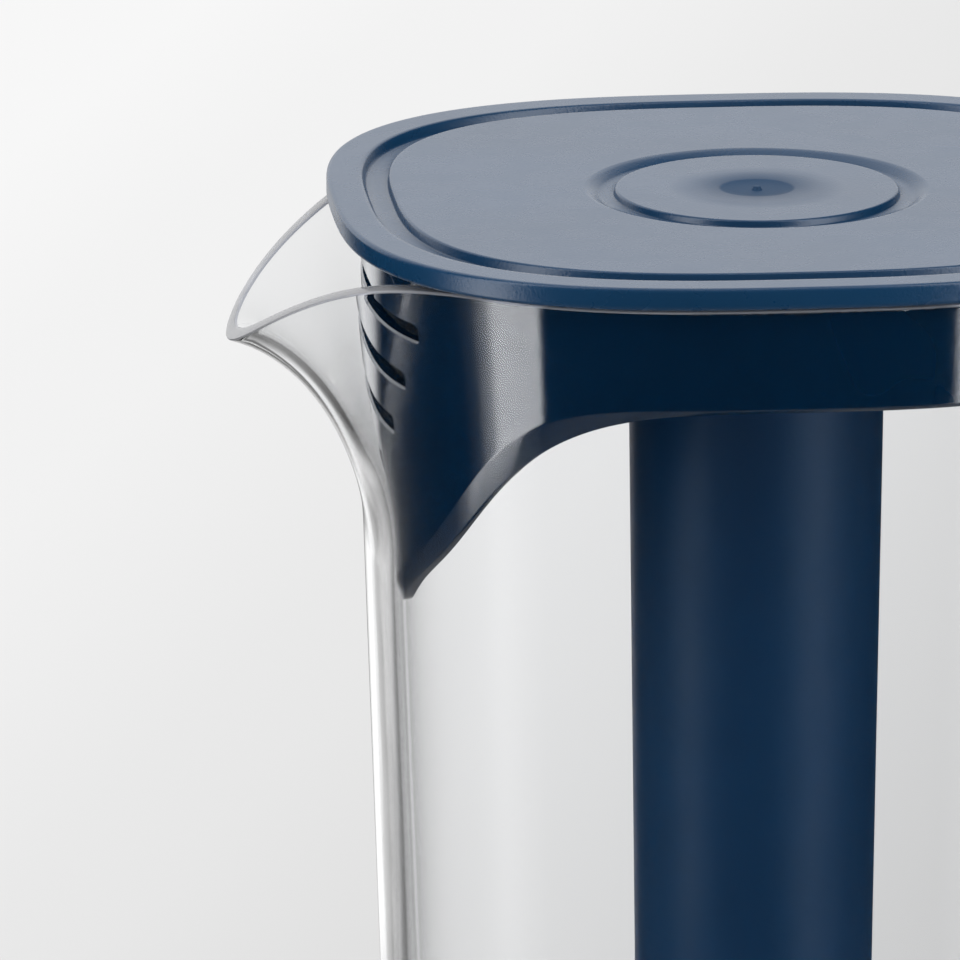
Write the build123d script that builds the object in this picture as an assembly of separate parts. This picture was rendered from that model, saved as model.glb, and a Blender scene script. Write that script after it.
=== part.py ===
from build123d import *
import math
import os

# Clear plastic pitcher with a rounded-square body and a pouring spout, a dark blue lid with a
# strainer skirt, and a hollow cooling core that screws up into the lid.
# Millimetres. The origin is the middle of the base on the table, +Z is up, the spout points
# along -X and the handle stands on +X. Angles round the body start at the spout.

# Jug body
jug_height = 238.0
rim_half_x = 58.4
rim_half_y = 59.9
corner_power = 2.85
wall_taper = 2.0
jug_wall = 2.3
floor_thickness = 2.8
base_round = 9.0

# Spout
spout_reach = 19.5
spout_half_angle = 23.0
spout_edge_angle = 75.0
spout_foot_drop = 50.8
spout_curl_angle = 80.0
spout_curl_spread = 0.25
lip_wall = 1.6
lip_start_x = 44.0
lip_arc_radius = 41.8
lip_arc_turn = 80.0

# Handle
handle_top_drop = 34.0
handle_height = 138.0
handle_reach = 42.0
handle_lean = 8.0
handle_width = 22.0
handle_bar = 11.0
handle_corner = 22.0
handle_flange = 2.8
handle_web = 3.0
handle_edge_round = 1.2
pad_width = 30.0
pad_height = 24.0
pad_thickness = 2.6
pad_round = 6.0
bond_gap = 0.1

# Lid cover
lid_half_x = 62.0
lid_half_y = 61.0
lid_power = 2.81
lid_thickness = 3.3
lid_top_round = 1.6
lid_bottom_round = 0.8
seat_gap = 0.3
rim_band = 5.5
groove_width = 3.5
groove_depth = 1.2
disc_radius = 20.7
moat_width = 4.3
moat_depth = 1.1
gate_radius = 5.2
gate_depth = 0.5
gate_pip_radius = 0.8

# Strainer skirt
skirt_gap = 0.4
skirt_wall = 2.0
skirt_depth = 15.2
skirt_flange_width = 7.0
skirt_flange_thickness = 1.8
skirt_bulge = 2.0
tongue_drop = 37.5
tongue_outer_bells = ((1.54, 38.1, 3.12), (-0.54, 32.6, 4.87))
tongue_inner_bells = ((1.0, 45.4, 2.92),)
tongue_edge_angle = 90.0
tongue_step_angle = 5.0
slot_height = 2.0
slot_pitch = 7.9
first_slot_drop = 8.8
slot_half_lengths = (32.3, 27.3, 20.5, 12.0)

# Cooling core and its quick thread
core_top_radius = 18.9
core_taper = 0.75
core_wall = 2.2
core_floor_clearance = 18.0
core_bottom_round = 8.0
seal_thickness = 2.0
seal_plug_depth = 4.0
seal_plug_wall = 1.8
seal_plug_gap = 0.15
collar_wall = 2.4
collar_height = 13.4
collar_gap = 0.4
thread_starts = 3
thread_lead = 15.0
thread_height = 2.0
thread_gap = 0.3
lug_width = 1.6
lug_drop = 5.0
lug_span = 40.0
lug_start = 20.0
ledge_span = 70.0

# Fineness of the modelled curves, and how far cutting shapes run past the faces they cut
section_points = 72
corner_steps = 4
spout_step = 3.0
thread_steps = 7
overrun = 1.0

lid_underside = jug_height + seat_gap
lid_top = lid_underside + lid_thickness
core_top = lid_underside - seal_thickness
core_length = core_top - core_floor_clearance
collar_radius = core_top_radius + lug_width + collar_gap
far = 4 * jug_height


def squircle_radius(angle, half_x, half_y, power):
    """Distance from the axis to a rounded square with these half sizes, in one direction."""
    x_part = (abs(math.cos(angle)) / half_x) ** power
    y_part = (abs(math.sin(angle)) / half_y) ** power
    return (x_part + y_part) ** (-1 / power)


def body_radius(angle, z, inset=0.0):
    """The plain tapered body without its spout, drawn in by an inset on every side."""
    shrink = (jug_height - z) * math.tan(math.radians(wall_taper)) + inset
    return squircle_radius(angle, rim_half_x - shrink, rim_half_y - shrink, corner_power)


def lip_dip(x):
    """Drop of the rim below its flat part at a distance x from the axis on the spout side."""
    past = min(max(x - lip_start_x, 0.0), lip_arc_radius)
    return lip_arc_radius - math.sqrt(lip_arc_radius ** 2 - past ** 2)


def spout_flare(angle, z):
    """How far the spout stands out from the plain body.

    Across the spout the reach is a bell curve. Up the wall it is a quarter ellipse that starts
    upright at the spout's foot and has curled almost level at the lip. Above the lip it runs on
    for a few millimetres at the same slope, where the rim cut takes it away."""
    off = math.atan2(math.sin(angle), math.cos(angle))
    if abs(off) > math.radians(spout_edge_angle):
        return 0.0
    bell = math.exp(-((math.degrees(off) / spout_half_angle) ** 2))
    reach = spout_reach * bell
    end = lip_dip((body_radius(angle, jug_height) + reach) * math.cos(off))
    foot = spout_foot_drop * math.cos(off)
    climb = max((foot - (jug_height - z)) / (foot - end), 0.0)
    curl = math.sin(math.radians(spout_curl_angle)) * bell ** spout_curl_spread
    full = 1 - math.sqrt(1 - curl ** 2)
    inside = min(climb, 1.0)
    share = (1 - math.sqrt(1 - (curl * inside) ** 2)) / full
    end_slope = curl ** 2 / math.sqrt(1 - curl ** 2) / full
    run_on = min(end_slope * (climb - inside) * reach, lid_thickness * bell)
    return reach * share + run_on


def outer_radius(angle, z):
    return body_radius(angle, z) + spout_flare(angle, z)


def inner_radius(angle, z):
    """The outer surface moved in by the wall and up by the thickness of the lip."""
    return outer_radius(angle, z - lip_wall) - jug_wall


def skirt_radius(angle, z, inset=0.0):
    """The skirt follows the jug's inside, but steps out into the spout's root by no more than
    its own bulge."""
    flare = spout_flare(angle, z - lip_wall)
    bulge = flare * skirt_bulge / (flare + skirt_bulge)
    return body_radius(angle, z, jug_wall + skirt_gap + inset) + bulge


def ring_wire(radius_at, z):
    """One closed curve round the axis; its seam lies on the handle side."""
    points = []
    for i in range(section_points):
        angle = math.pi + 2 * math.pi * i / section_points
        r = radius_at(angle)
        points.append(Vector(-r * math.cos(angle), -r * math.sin(angle), z))
    return Wire([Edge.make_spline(points, periodic=True)])


def stack(levels):
    """A solid through (height, radius function) levels, bottom first."""
    wires = [ring_wire(radius_at, z) for z, radius_at in levels]
    return Part(Solid.make_loft(wires, ruled=True).wrapped)


def squircle_prism(half_x, half_y, power, z_low, z_high):
    face = Face(ring_wire(lambda a: squircle_radius(a, half_x, half_y, power), z_low))
    return Part(Solid.extrude(face, Vector(0, 0, z_high - z_low)).wrapped)


def rounded_foot(radius_at, z_floor, corner):
    """Levels of a quarter-round between a flat floor and the wall above it."""
    levels = []
    for i in range(corner_steps):
        turn = math.radians(90 * i / corner_steps)
        z = z_floor + corner * (1 - math.cos(turn))
        inset = corner * (1 - math.sin(turn))
        levels.append((z, lambda a, z=z, inset=inset: radius_at(a, z) - inset))
    return levels


def wall_levels(radius_at, z_low, z_high):
    """Levels up the wall: one straight stretch, then close steps through the spout."""
    foot = jug_height - spout_foot_drop - spout_step
    count = round((spout_foot_drop + 3 * spout_step) / spout_step)
    steps = [foot + spout_step * i for i in range(count + 1)]
    heights = [z_low] + [z for z in steps if z_low < z < z_high] + [z_high]
    return [(z, lambda a, z=z: radius_at(a, z)) for z in heights]


def jug_outside():
    top = jug_height + 2 * spout_step
    levels = rounded_foot(outer_radius, 0.0, base_round)
    return stack(levels + wall_levels(outer_radius, base_round, top))


def jug_inside():
    top = jug_height + 2 * spout_step
    corner = base_round - jug_wall
    levels = rounded_foot(inner_radius, floor_thickness, corner)
    return stack(levels + wall_levels(inner_radius, floor_thickness + corner, top))


def rim_cutter():
    """Everything above the rim, whose side view is level and then an arc down to the lip."""
    turn = math.radians(lip_arc_turn)
    end_x = -lip_start_x - lip_arc_radius * math.sin(turn)
    end_z = jug_height - lip_arc_radius * (1 - math.cos(turn))
    mid_x = -lip_start_x - lip_arc_radius * math.sin(turn / 2)
    mid_z = jug_height - lip_arc_radius * (1 - math.cos(turn / 2))
    with BuildPart() as cutter:
        with BuildSketch(Plane.XZ):
            with BuildLine():
                Line((far, jug_height), (-lip_start_x, jug_height))
                ThreePointArc((-lip_start_x, jug_height), (mid_x, mid_z), (end_x, end_z))
                Polyline((end_x, end_z), (-far, end_z), (-far, far), (far, far), (far, jug_height))
            make_face()
        extrude(amount=far, both=True)
    return cutter.part


def jug_body():
    return jug_outside() - jug_inside() - rim_cutter()


def handle_profile(inset):
    """Side view of the handle: a loop that leaves the wall, turns down and comes back."""
    top = jug_height - handle_top_drop - inset
    bottom = jug_height - handle_top_drop - handle_height + inset
    wall_top = body_radius(0.0, top)
    wall_bottom = body_radius(0.0, bottom)
    outer_top = wall_top + handle_reach - inset
    outer_bottom = outer_top - handle_lean - (wall_top - wall_bottom)
    corner = handle_corner - inset
    with BuildSketch(Plane.XZ) as side:
        with BuildLine():
            FilletPolyline(
                (0, top), (outer_top, top), (outer_bottom, bottom), (0, bottom), radius=corner
            )
            Line((0, bottom), (0, top))
        make_face()
    return side.sketch


def handle_pad(z):
    """A rounded foot plate that spreads one end of the handle over the jug's wall."""
    outline = Plane.YZ * Pos(0, z) * RectangleRounded(pad_width, pad_height, pad_round)
    return extrude(outline, amount=body_radius(0.0, z) + pad_thickness)


def handle():
    """A loop with an I section, an outer and an inner flange on a thin middle web, and two
    foot plates. Its back is cut to the jug's wall with room for the bond."""
    loop = handle_profile(0.0) - handle_profile(handle_bar)
    pocket = handle_profile(handle_flange) - handle_profile(handle_bar - handle_flange)
    bar = extrude(loop, amount=handle_width / 2, both=True)
    sides = bar.edges().group_by(Axis.Y)
    bar = fillet(sides[0] + sides[-1], handle_edge_round)
    side = extrude(pocket, amount=handle_width, both=True)
    web = extrude(loop, amount=handle_web / 2, both=True)
    top_z = jug_height - handle_top_drop - handle_bar / 2
    low_z = top_z - handle_height + handle_bar
    whole = (bar - side) + web + handle_pad(top_z) + handle_pad(low_z)
    keep_out = stack(
        [
            (0.0, lambda a: body_radius(a, 0.0, -bond_gap)),
            (jug_height, lambda a: body_radius(a, jug_height, -bond_gap)),
        ]
    )
    whole = whole - keep_out
    return whole & Pos(far / 2, 0, 0) * Box(far, far, far)


def arc_block(radius_in, radius_out, z_at, height, start, span):
    """A block that climbs round the axis as part of a right-hand thread.

    z_at is its underside at angle zero of the thread; it rises by the lead in a full turn."""
    sections = []
    for i in range(thread_steps):
        angle = start + span * i / (thread_steps - 1)
        plane = Plane(
            origin=(0, 0, z_at + thread_lead * angle / 360),
            x_dir=(math.cos(math.radians(angle)), math.sin(math.radians(angle)), 0),
            z_dir=(math.sin(math.radians(angle)), -math.cos(math.radians(angle)), 0),
        )
        corners = [
            plane.from_local_coords(Vector(x, y, 0))
            for x, y in (
                (radius_in, 0),
                (radius_out, 0),
                (radius_out, height),
                (radius_in, height),
            )
        ]
        sections.append(Wire.make_polygon(corners, close=True))
    return Part(Solid.make_loft(sections, ruled=False).wrapped)


def ring(radius_out, radius_in, z_low, z_high):
    """A round ring, or a disc where the inner radius is zero."""
    height = z_high - z_low
    middle = Pos(0, 0, (z_low + z_high) / 2)
    disc = Cylinder(radius_out, height)
    if radius_in > 0:
        disc -= Cylinder(radius_in, height + 2 * overrun)
    return middle * disc


lug_underside = core_top - lug_drop - thread_height / 2
thread_zero = lug_underside - thread_lead * (lug_start + lug_span / 2) / 360


def lid_cover():
    """Top plate with its rim groove, raised centre disc and gate mark, and the core's collar."""
    plate = squircle_prism(lid_half_x, lid_half_y, lid_power, lid_underside, lid_top)
    plate = fillet(plate.edges().group_by(Axis.Z)[-1], lid_top_round)
    plate = fillet(plate.edges().group_by(Axis.Z)[0], lid_bottom_round)
    groove_low = lid_top - groove_depth
    groove_in = rim_band + groove_width
    groove = squircle_prism(
        lid_half_x - rim_band, lid_half_y - rim_band, lid_power, groove_low, lid_top + overrun
    ) - squircle_prism(
        lid_half_x - groove_in,
        lid_half_y - groove_in,
        lid_power,
        groove_low - overrun,
        lid_top + 2 * overrun,
    )
    moat_low = lid_top - moat_depth
    moat_outer = disc_radius + moat_width
    with BuildPart() as moat:
        with BuildSketch(Plane.XZ):
            with BuildLine():
                Polyline(
                    (disc_radius, lid_top + overrun),
                    (disc_radius, moat_low),
                    (disc_radius + moat_width / 2, moat_low),
                    (moat_outer, lid_top),
                    (moat_outer, lid_top + overrun),
                    close=True,
                )
            make_face()
        revolve(axis=Axis.Z)
    gate_low = lid_top - gate_depth
    gate = ring(gate_radius, 0.0, gate_low, lid_top + overrun)
    pip = Pos(0, 0, gate_low) * Sphere(gate_pip_radius)
    cover = plate - groove - moat.part - gate + pip
    cover += ring(
        collar_radius + collar_wall, collar_radius, lid_underside - collar_height, lid_underside
    )
    ledge_low = thread_zero - thread_gap - thread_height
    for i in range(thread_starts):
        cover += arc_block(
            core_top_radius + collar_gap,
            collar_radius + collar_wall / 4,
            ledge_low,
            thread_height,
            0.0,
            ledge_span,
        ).rotate(Axis.Z, 360 * i / thread_starts)
    return cover


def skirt_shell(inset, z_low, z_high):
    """The space inside the skirt's outer face, drawn in by an inset."""
    return stack(wall_levels(lambda a, z: skirt_radius(a, z, inset), z_low, z_high))


def tongue_edge(angle, bells):
    """Depth of one edge of the skirt below the rim: level, with a bell-shaped drop at the spout.

    Each bell is a share of the drop, the angle where it has fallen to a third, and a power."""

    def drop(degrees):
        return sum(share * math.exp(-((degrees / width) ** power)) for share, width, power in bells)

    off = abs(math.degrees(math.atan2(math.sin(angle), math.cos(angle))))
    return skirt_depth + tongue_drop * max(drop(off) - drop(tongue_edge_angle), 0.0)


def skirt_cutter():
    """All that lies below the skirt. Across the spout the inner edge hangs lower than the outer
    one, so the cut through the wall slopes."""
    margin = 3 * skirt_wall
    bottom = jug_height - skirt_depth - 2 * tongue_drop
    sections = []
    steps = round(2 * (tongue_edge_angle + tongue_step_angle) / tongue_step_angle)
    for i in range(steps + 1):
        angle = math.radians(tongue_step_angle * (i - steps / 2))
        outer_z = jug_height - tongue_edge(angle, tongue_outer_bells)
        inner_z = jug_height - tongue_edge(angle, tongue_inner_bells)
        radius = skirt_radius(angle, outer_z)
        slope = (outer_z - inner_z) / skirt_wall
        near = radius - skirt_wall - margin
        out = radius + margin
        corners = [
            (near, inner_z - slope * margin),
            (out, outer_z + slope * margin),
            (out, bottom),
            (near, bottom),
        ]
        sections.append(
            Wire.make_polygon(
                [Vector(-r * math.cos(angle), -r * math.sin(angle), z) for r, z in corners],
                close=True,
            )
        )
    front = Part(Solid.make_loft(sections, ruled=False).wrapped)
    back = Pos(far / 2, 0, jug_height - skirt_depth - far / 2) * Box(far, 2 * far, far)
    return front + back


def skirt_slots():
    slots = []
    middle = (skirt_radius(0.0, jug_height) + collar_radius) / 2
    reach = skirt_radius(0.0, jug_height) - collar_radius
    for i, half_length in enumerate(slot_half_lengths):
        z = jug_height - first_slot_drop - slot_pitch * i
        outline = Plane.YZ.offset(-middle) * Pos(0, z) * SlotOverall(2 * half_length, slot_height)
        slots.append(extrude(outline, amount=reach, both=True))
    return slots


def strainer_skirt():
    """Skirt ring with a tongue across the spout, pour slots in it and a flange on top."""
    low = jug_height - skirt_depth - tongue_drop - overrun
    flange_low = lid_underside - skirt_flange_thickness
    inner = skirt_wall + skirt_flange_width
    shell = skirt_shell(0.0, low, lid_underside)
    shell -= skirt_shell(skirt_wall, low - overrun, flange_low)
    shell -= skirt_shell(inner, low - overrun, lid_underside + overrun)
    shell -= skirt_cutter()
    for slot in skirt_slots():
        shell -= slot
    return shell


def core_tube():
    """Closed-bottom tapered tube with thread lugs near its open top."""
    slope = math.tan(math.radians(core_taper))
    bottom = core_floor_clearance
    bottom_radius = core_top_radius - core_length * slope
    inner_bottom = bottom + core_wall
    inner_round = core_bottom_round - core_wall
    with BuildPart() as tube:
        with BuildSketch(Plane.XZ):
            with BuildLine():
                FilletPolyline(
                    (0, bottom),
                    (bottom_radius, bottom),
                    (core_top_radius, core_top),
                    radius=core_bottom_round,
                )
                Polyline(
                    (core_top_radius, core_top),
                    (core_top_radius - core_wall, core_top),
                )
                FilletPolyline(
                    (core_top_radius - core_wall, core_top),
                    (bottom_radius - core_wall, inner_bottom),
                    (0, inner_bottom),
                    radius=inner_round,
                )
                Line((0, inner_bottom), (0, bottom))
            make_face()
        revolve(axis=Axis.Z)
    core = tube.part
    for i in range(thread_starts):
        core += arc_block(
            core_top_radius - core_wall / 2,
            core_top_radius + lug_width,
            thread_zero,
            thread_height,
            lug_start,
            lug_span,
        ).rotate(Axis.Z, 360 * i / thread_starts)
    return core


def core_seal():
    """Soft ring that lies on the tube's end and plugs a little way into it."""
    plug_radius = core_top_radius - core_wall - seal_plug_gap
    plug_bore = plug_radius - seal_plug_wall
    flange = ring(core_top_radius, plug_bore, core_top, lid_underside)
    plug = ring(plug_radius, plug_bore, core_top - seal_plug_depth, core_top + seal_thickness / 2)
    return flange + plug


os.makedirs("parts", exist_ok=True)
pieces = {
    "jug_body": jug_body(),
    "handle": handle(),
    "lid_cover": lid_cover(),
    "strainer_skirt": strainer_skirt(),
    "core_tube": core_tube(),
    "core_seal": core_seal(),
}
for name, piece in pieces.items():
    export_step(piece, os.path.join("parts", name + ".step"))
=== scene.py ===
import math

import bmesh
import bpy
import numpy as np
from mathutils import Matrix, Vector
from mathutils.geometry import delaunay_2d_cdt


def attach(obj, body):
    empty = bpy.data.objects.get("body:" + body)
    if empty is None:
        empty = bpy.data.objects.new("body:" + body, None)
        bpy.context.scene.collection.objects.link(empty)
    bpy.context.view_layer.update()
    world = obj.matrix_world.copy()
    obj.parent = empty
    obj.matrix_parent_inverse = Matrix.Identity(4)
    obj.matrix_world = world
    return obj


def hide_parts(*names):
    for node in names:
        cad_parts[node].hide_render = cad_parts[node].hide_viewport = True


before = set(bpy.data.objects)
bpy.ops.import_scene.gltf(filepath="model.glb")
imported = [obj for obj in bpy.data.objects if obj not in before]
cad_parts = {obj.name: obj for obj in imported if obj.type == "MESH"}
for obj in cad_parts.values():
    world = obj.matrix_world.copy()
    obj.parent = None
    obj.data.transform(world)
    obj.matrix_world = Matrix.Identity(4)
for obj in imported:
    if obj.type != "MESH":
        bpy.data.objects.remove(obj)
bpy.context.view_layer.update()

# Clear plastic pitcher with a dark blue strainer lid and a cooling core. Metres, with the origin
# in the middle of the base, +Z up, the spout along -X and the handle along +X. Angles round the
# pitcher are measured from the spout, and go towards the side that the photograph shows.


# Camera: the photograph's long lens, two metres away, a little to the left of the pitcher's
# broad side and looking down on the lid by 15 degrees.
EYE = (-0.2255, -1.9318, 0.7070)
EYE_TURN = 0.0955
EYE_DIP = 0.2562
FOCAL_LENGTH = 515.4
SENSOR_WIDTH = 36.0
lens = bpy.data.cameras.new("camera")
lens.lens = FOCAL_LENGTH
lens.sensor_width = SENSOR_WIDTH
camera = bpy.data.objects.new("camera", lens)
camera.location = EYE
camera.rotation_euler = (math.pi / 2 - EYE_DIP, 0.0, -EYE_TURN)
bpy.context.scene.collection.objects.link(camera)
bpy.context.scene.camera = camera
bpy.context.scene.view_settings.view_transform = "Standard"


# Studio: a pale floor under a pale sky. The floor's colour darkens along a slanting axis towards
# the camera, as painted fall-off of light. Reflections see tall soft panels to the left and right
# of the camera, with dark room between them, and a bright backdrop behind the pitcher: these are
# painted on the sky, and as painted reflections on the floor, which glows with them for rays
# mirrored once. The room's stops are (compass angle from the camera's side in degrees, light).
FLOOR_RADIUS = 9.0
FLOOR_GAP = 0.0005
FLOOR_CORNERS = 96
ROOM_LIGHT = 0.008
PANEL_LIGHT = 4.2
PANEL = [(53, ROOM_LIGHT), (55, PANEL_LIGHT), (75, PANEL_LIGHT), (80, 1.4), (87, 0.1)]
PANEL += [(95, ROOM_LIGHT)]
BACKDROP = [(151, ROOM_LIGHT), (156, 0.25), (160, 0.80), (164, 1.10), (172, 1.15), (177, 0.22)]
HIGH_BACKDROP = [(115, ROOM_LIGHT), (135, 1.15), (180, 1.15)]
RIGHT_STRETCH = 2.4
SKY_LIGHTS = (0.50, 1.70)
FLOOR_TONE = 0.77
FLOOR_AXIS = (2.493, -0.883, 0.0)
FLOOR_START = 1.088
# Stops (position along the axis, level) of the floor's painted fall-off of light: paler far off,
# darker towards the camera and towards +X.
FLOOR_PAINTED_FALLOFF = [(0.05, 0.93), (0.18, 0.893), (0.28, 0.885), (0.37, 0.856), (0.47, 0.82)]
FLOOR_PAINTED_FALLOFF += [(0.54, 0.805), (0.66, 0.755), (0.77, 0.70), (0.94, 0.615)]
NEAR_FLOOR_START = 0.45
NEAR_FLOOR_END = 0.25
NEAR_FLOOR_LIGHT = 0.22


def new_tree(tree):
    """Empties a node tree and returns it with a short way to add and join nodes."""
    tree.nodes.clear()

    def add(kind, links=(), **values):
        node = tree.nodes.new(kind)
        for name, value in values.items():
            if name in node.bl_rna.properties:
                setattr(node, name, value)
            else:
                node.inputs[name.replace("_", " ")].default_value = value
        for socket, source in links:
            tree.links.new(source, node.inputs[socket])
        return node

    return add


def ramp_of(add, source, stops):
    """A grey level looked up on a ramp of (position, level) stops."""
    node = add("ShaderNodeValToRGB", [(0, source)])
    ramp = node.color_ramp
    while len(ramp.elements) < len(stops):
        ramp.elements.new(0.5)
    for element, (at, light) in zip(ramp.elements, stops):
        element.position = at
        element.color = (light, light, light, 1.0)
    return node.outputs[0]


def maths(add, operation, *inputs):
    """The result of a maths node whose inputs are sockets or plain floats."""
    links = [(i, value) for i, value in enumerate(inputs) if not isinstance(value, float)]
    node = add("ShaderNodeMath", links, operation=operation)
    for i, value in enumerate(inputs):
        if isinstance(value, float):
            node.inputs[i].default_value = value
    return node.outputs[0]


def room_seen_in_gloss(add, place, backdrop):
    """Brightness round the pitcher by compass angle: the angle of a point or direction from the
    camera's side, 0 to 180 degrees, is looked up on a ramp with soft edges. On the right the
    sideways distance is stretched, so the right panel stands nearer to the camera."""
    parts = add("ShaderNodeSeparateXYZ", [(0, place)])
    ahead = maths(add, "MULTIPLY", parts.outputs[1], -1.0)
    left = maths(add, "MULTIPLY", parts.outputs[0], -1.0)
    right = maths(add, "MULTIPLY", parts.outputs[0], RIGHT_STRETCH)
    angle = maths(add, "ARCTAN2", maths(add, "MAXIMUM", left, right), ahead)
    turn = maths(add, "DIVIDE", angle, math.pi)
    stops = [(0, ROOM_LIGHT), *PANEL, *backdrop]
    return ramp_of(add, turn, [(at / 180, light) for at, light in stops])


def mirrored_once(add):
    """1 on rays that have been mirrored once, and 0 on all others: a ray that is mirrored more
    often runs along inside a clear wall, and meets the plain sky and floor."""
    path = add("ShaderNodeLightPath")
    return maths(add, "COMPARE", path.outputs["Glossy Depth"], 1.0, 0.5)


sky = bpy.data.worlds.new("studio")
bpy.context.scene.world = sky
sky.use_nodes = True
add = new_tree(sky.node_tree)
direction = add("ShaderNodeTexCoord").outputs["Generated"]
room = add("ShaderNodeBackground", [(0, room_seen_in_gloss(add, direction, HIGH_BACKDROP))])
height = add("ShaderNodeSeparateXYZ", [(0, direction)])
low, high = SKY_LIGHTS
plain = add(
    "ShaderNodeBackground", [(0, ramp_of(add, height.outputs[2], [(0.0, low), (1.0, high)]))]
)
both = add(
    "ShaderNodeMixShader",
    [(0, mirrored_once(add)), (1, plain.outputs[0]), (2, room.outputs[0])],
)
add("ShaderNodeOutputWorld", [(0, both.outputs[0])])

turns = np.linspace(0, 2 * np.pi, FLOOR_CORNERS, endpoint=False)
floor_points = FLOOR_RADIUS * np.stack([np.cos(turns), np.sin(turns), 0 * turns], axis=1)
floor_points[:, 2] = -FLOOR_GAP
floor_mesh = bpy.data.meshes.new("floor")
floor_mesh.from_pydata(floor_points.tolist(), [], [list(range(FLOOR_CORNERS))])
floor = bpy.data.objects.new("floor", floor_mesh)
bpy.context.scene.collection.objects.link(floor)
paper = bpy.data.materials.new("pale floor with painted falloff and reflections")
paper.use_nodes = True
add = new_tree(paper.node_tree)
place = add("ShaderNodeTexCoord").outputs["Object"]
across = add("ShaderNodeVectorMath", [(0, place)], operation="DOT_PRODUCT")
across.inputs[1].default_value = FLOOR_AXIS
along = maths(add, "ADD", across.outputs["Value"], FLOOR_START)
# Painted fall-off of light: the floor's colour is looked up along the slanting axis.
painted_falloff = ramp_of(add, along, [(at, FLOOR_TONE * level) for at, level in FLOOR_PAINTED_FALLOFF])
diffuse = add("ShaderNodeBsdfDiffuse", [(0, painted_falloff)])
distance = add("ShaderNodeVectorMath", [(0, place)], operation="LENGTH")
# Painted reflections: for rays mirrored once the floor glows with the room's panels and backdrop,
# and with a dim level near the pitcher, though the floor is no lamp.
near = add(
    "ShaderNodeMapRange",
    [(0, distance.outputs["Value"])],
    From_Min=NEAR_FLOOR_START,
    From_Max=NEAR_FLOOR_END,
)
under = add(
    "ShaderNodeMix",
    [(0, near.outputs[0]), (2, room_seen_in_gloss(add, place, BACKDROP))],
    data_type="FLOAT",
)
under.inputs[3].default_value = NEAR_FLOOR_LIGHT
# The glow that mirrored rays see on the floor: painted reflection.
mirrored = add("ShaderNodeEmission", [(0, under.outputs[0])])
both = add(
    "ShaderNodeMixShader",
    [(0, mirrored_once(add)), (1, diffuse.outputs[0]), (2, mirrored.outputs[0])],
)
add("ShaderNodeOutputMaterial", [(0, both.outputs[0])])
floor_mesh.materials.append(paper)


# Jug: one injection moulding in clear plastic, a tapered rounded square with a pouring spout
# drawn out of its front wall. Its rim is level and dips in an arc to the lip.
JUG_HEIGHT = 0.238
RIM_HALF_X = 0.0584
RIM_HALF_Y = 0.0599
CORNER_POWER = 2.85
WALL_TAPER = math.tan(math.radians(2.0))
JUG_WALL = 0.0023
FLOOR_THICKNESS = 0.0028
BASE_ROUND = 0.009
SPOUT_REACH = 0.0193
SPOUT_HALF_ANGLE = math.radians(23.0)
SPOUT_EDGE = math.radians(75.0)
SPOUT_FOOT_DROP = 0.0508
SPOUT_CURL = 0.98481
LIP_WALL = 0.0016
LIP_START_X = 0.044
LIP_ARC_RADIUS = 0.0418
LIP_RUN_ON = 0.0033
RIM_ROUND = 0.00035
ROUND_THE_JUG = 480
FLAT_RINGS = [0.1, 0.4, 0.7, 0.95]
FOOT_STEPS = 10
STRAIGHT_STEPS = 14
SPOUT_STEPS = 40
CLEAR_IOR = 1.3


def squircle(angle, half_x, half_y, power):
    """Distance from the axis to a rounded square: the power mean of cosine and sine, each over
    its own half size."""
    along = np.abs(np.cos(angle) / half_x) ** power
    across = np.abs(np.sin(angle) / half_y) ** power
    return (along + across) ** (-1 / power)


def body_radius(angle, z, inset=0.0):
    """The tapered body without its spout: a rounded square that shrinks with the depth below
    the rim, and by an inset on every side."""
    shrink = (JUG_HEIGHT - z) * WALL_TAPER + inset
    return squircle(angle, RIM_HALF_X - shrink, RIM_HALF_Y - shrink, CORNER_POWER)


def lip_dip(x):
    """Drop of the rim at a distance x towards the spout: an arc that starts level."""
    past = np.clip(x - LIP_START_X, 0.0, LIP_ARC_RADIUS)
    return LIP_ARC_RADIUS - np.sqrt(LIP_ARC_RADIUS**2 - past**2)


def from_spout(angle):
    """Signed angle from the spout, between minus and plus half a turn."""
    return np.arctan2(np.sin(angle), np.cos(angle))


def spout_shape(angle):
    """Reach, foot depth, lip depth and curl of the spout at an angle. The reach is a bell curve,
    and the curl is the sine of the slope that a quarter ellipse has reached at the lip."""
    off = np.clip(from_spout(angle), -SPOUT_EDGE, SPOUT_EDGE)
    bell = np.exp(-((off / SPOUT_HALF_ANGLE) ** 2))
    reach = SPOUT_REACH * bell
    foot = SPOUT_FOOT_DROP * np.cos(off)
    end = lip_dip((body_radius(off, JUG_HEIGHT) + reach) * np.cos(off))
    return reach, foot, end, SPOUT_CURL * bell**0.25, bell


def spout_flare(angle, z):
    """How far the spout stands out: nothing below its foot, then one minus the root of one minus
    the climb squared, scaled to the reach, and past the lip a straight run at the same slope."""
    reach, foot, end, curl, bell = spout_shape(angle)
    climb = np.maximum((foot - (JUG_HEIGHT - z)) / (foot - end), 0.0)
    inside = np.minimum(climb, 1.0)
    full = 1 - np.sqrt(1 - curl**2)
    share = (1 - np.sqrt(1 - (curl * inside) ** 2)) / full
    slope = curl**2 / np.sqrt(1 - curl**2) / full
    run_on = np.minimum(slope * (climb - inside) * reach, LIP_RUN_ON * bell)
    within = np.abs(from_spout(angle)) <= SPOUT_EDGE
    return np.where(within, reach * share + run_on, 0.0)


def outer_radius(angle, z):
    """The body with its spout."""
    return body_radius(angle, z) + spout_flare(angle, z)


def inner_radius(angle, z):
    """The outside moved up by the lip's thickness and in by the wall's."""
    return outer_radius(angle, z - LIP_WALL) - JUG_WALL


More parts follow.
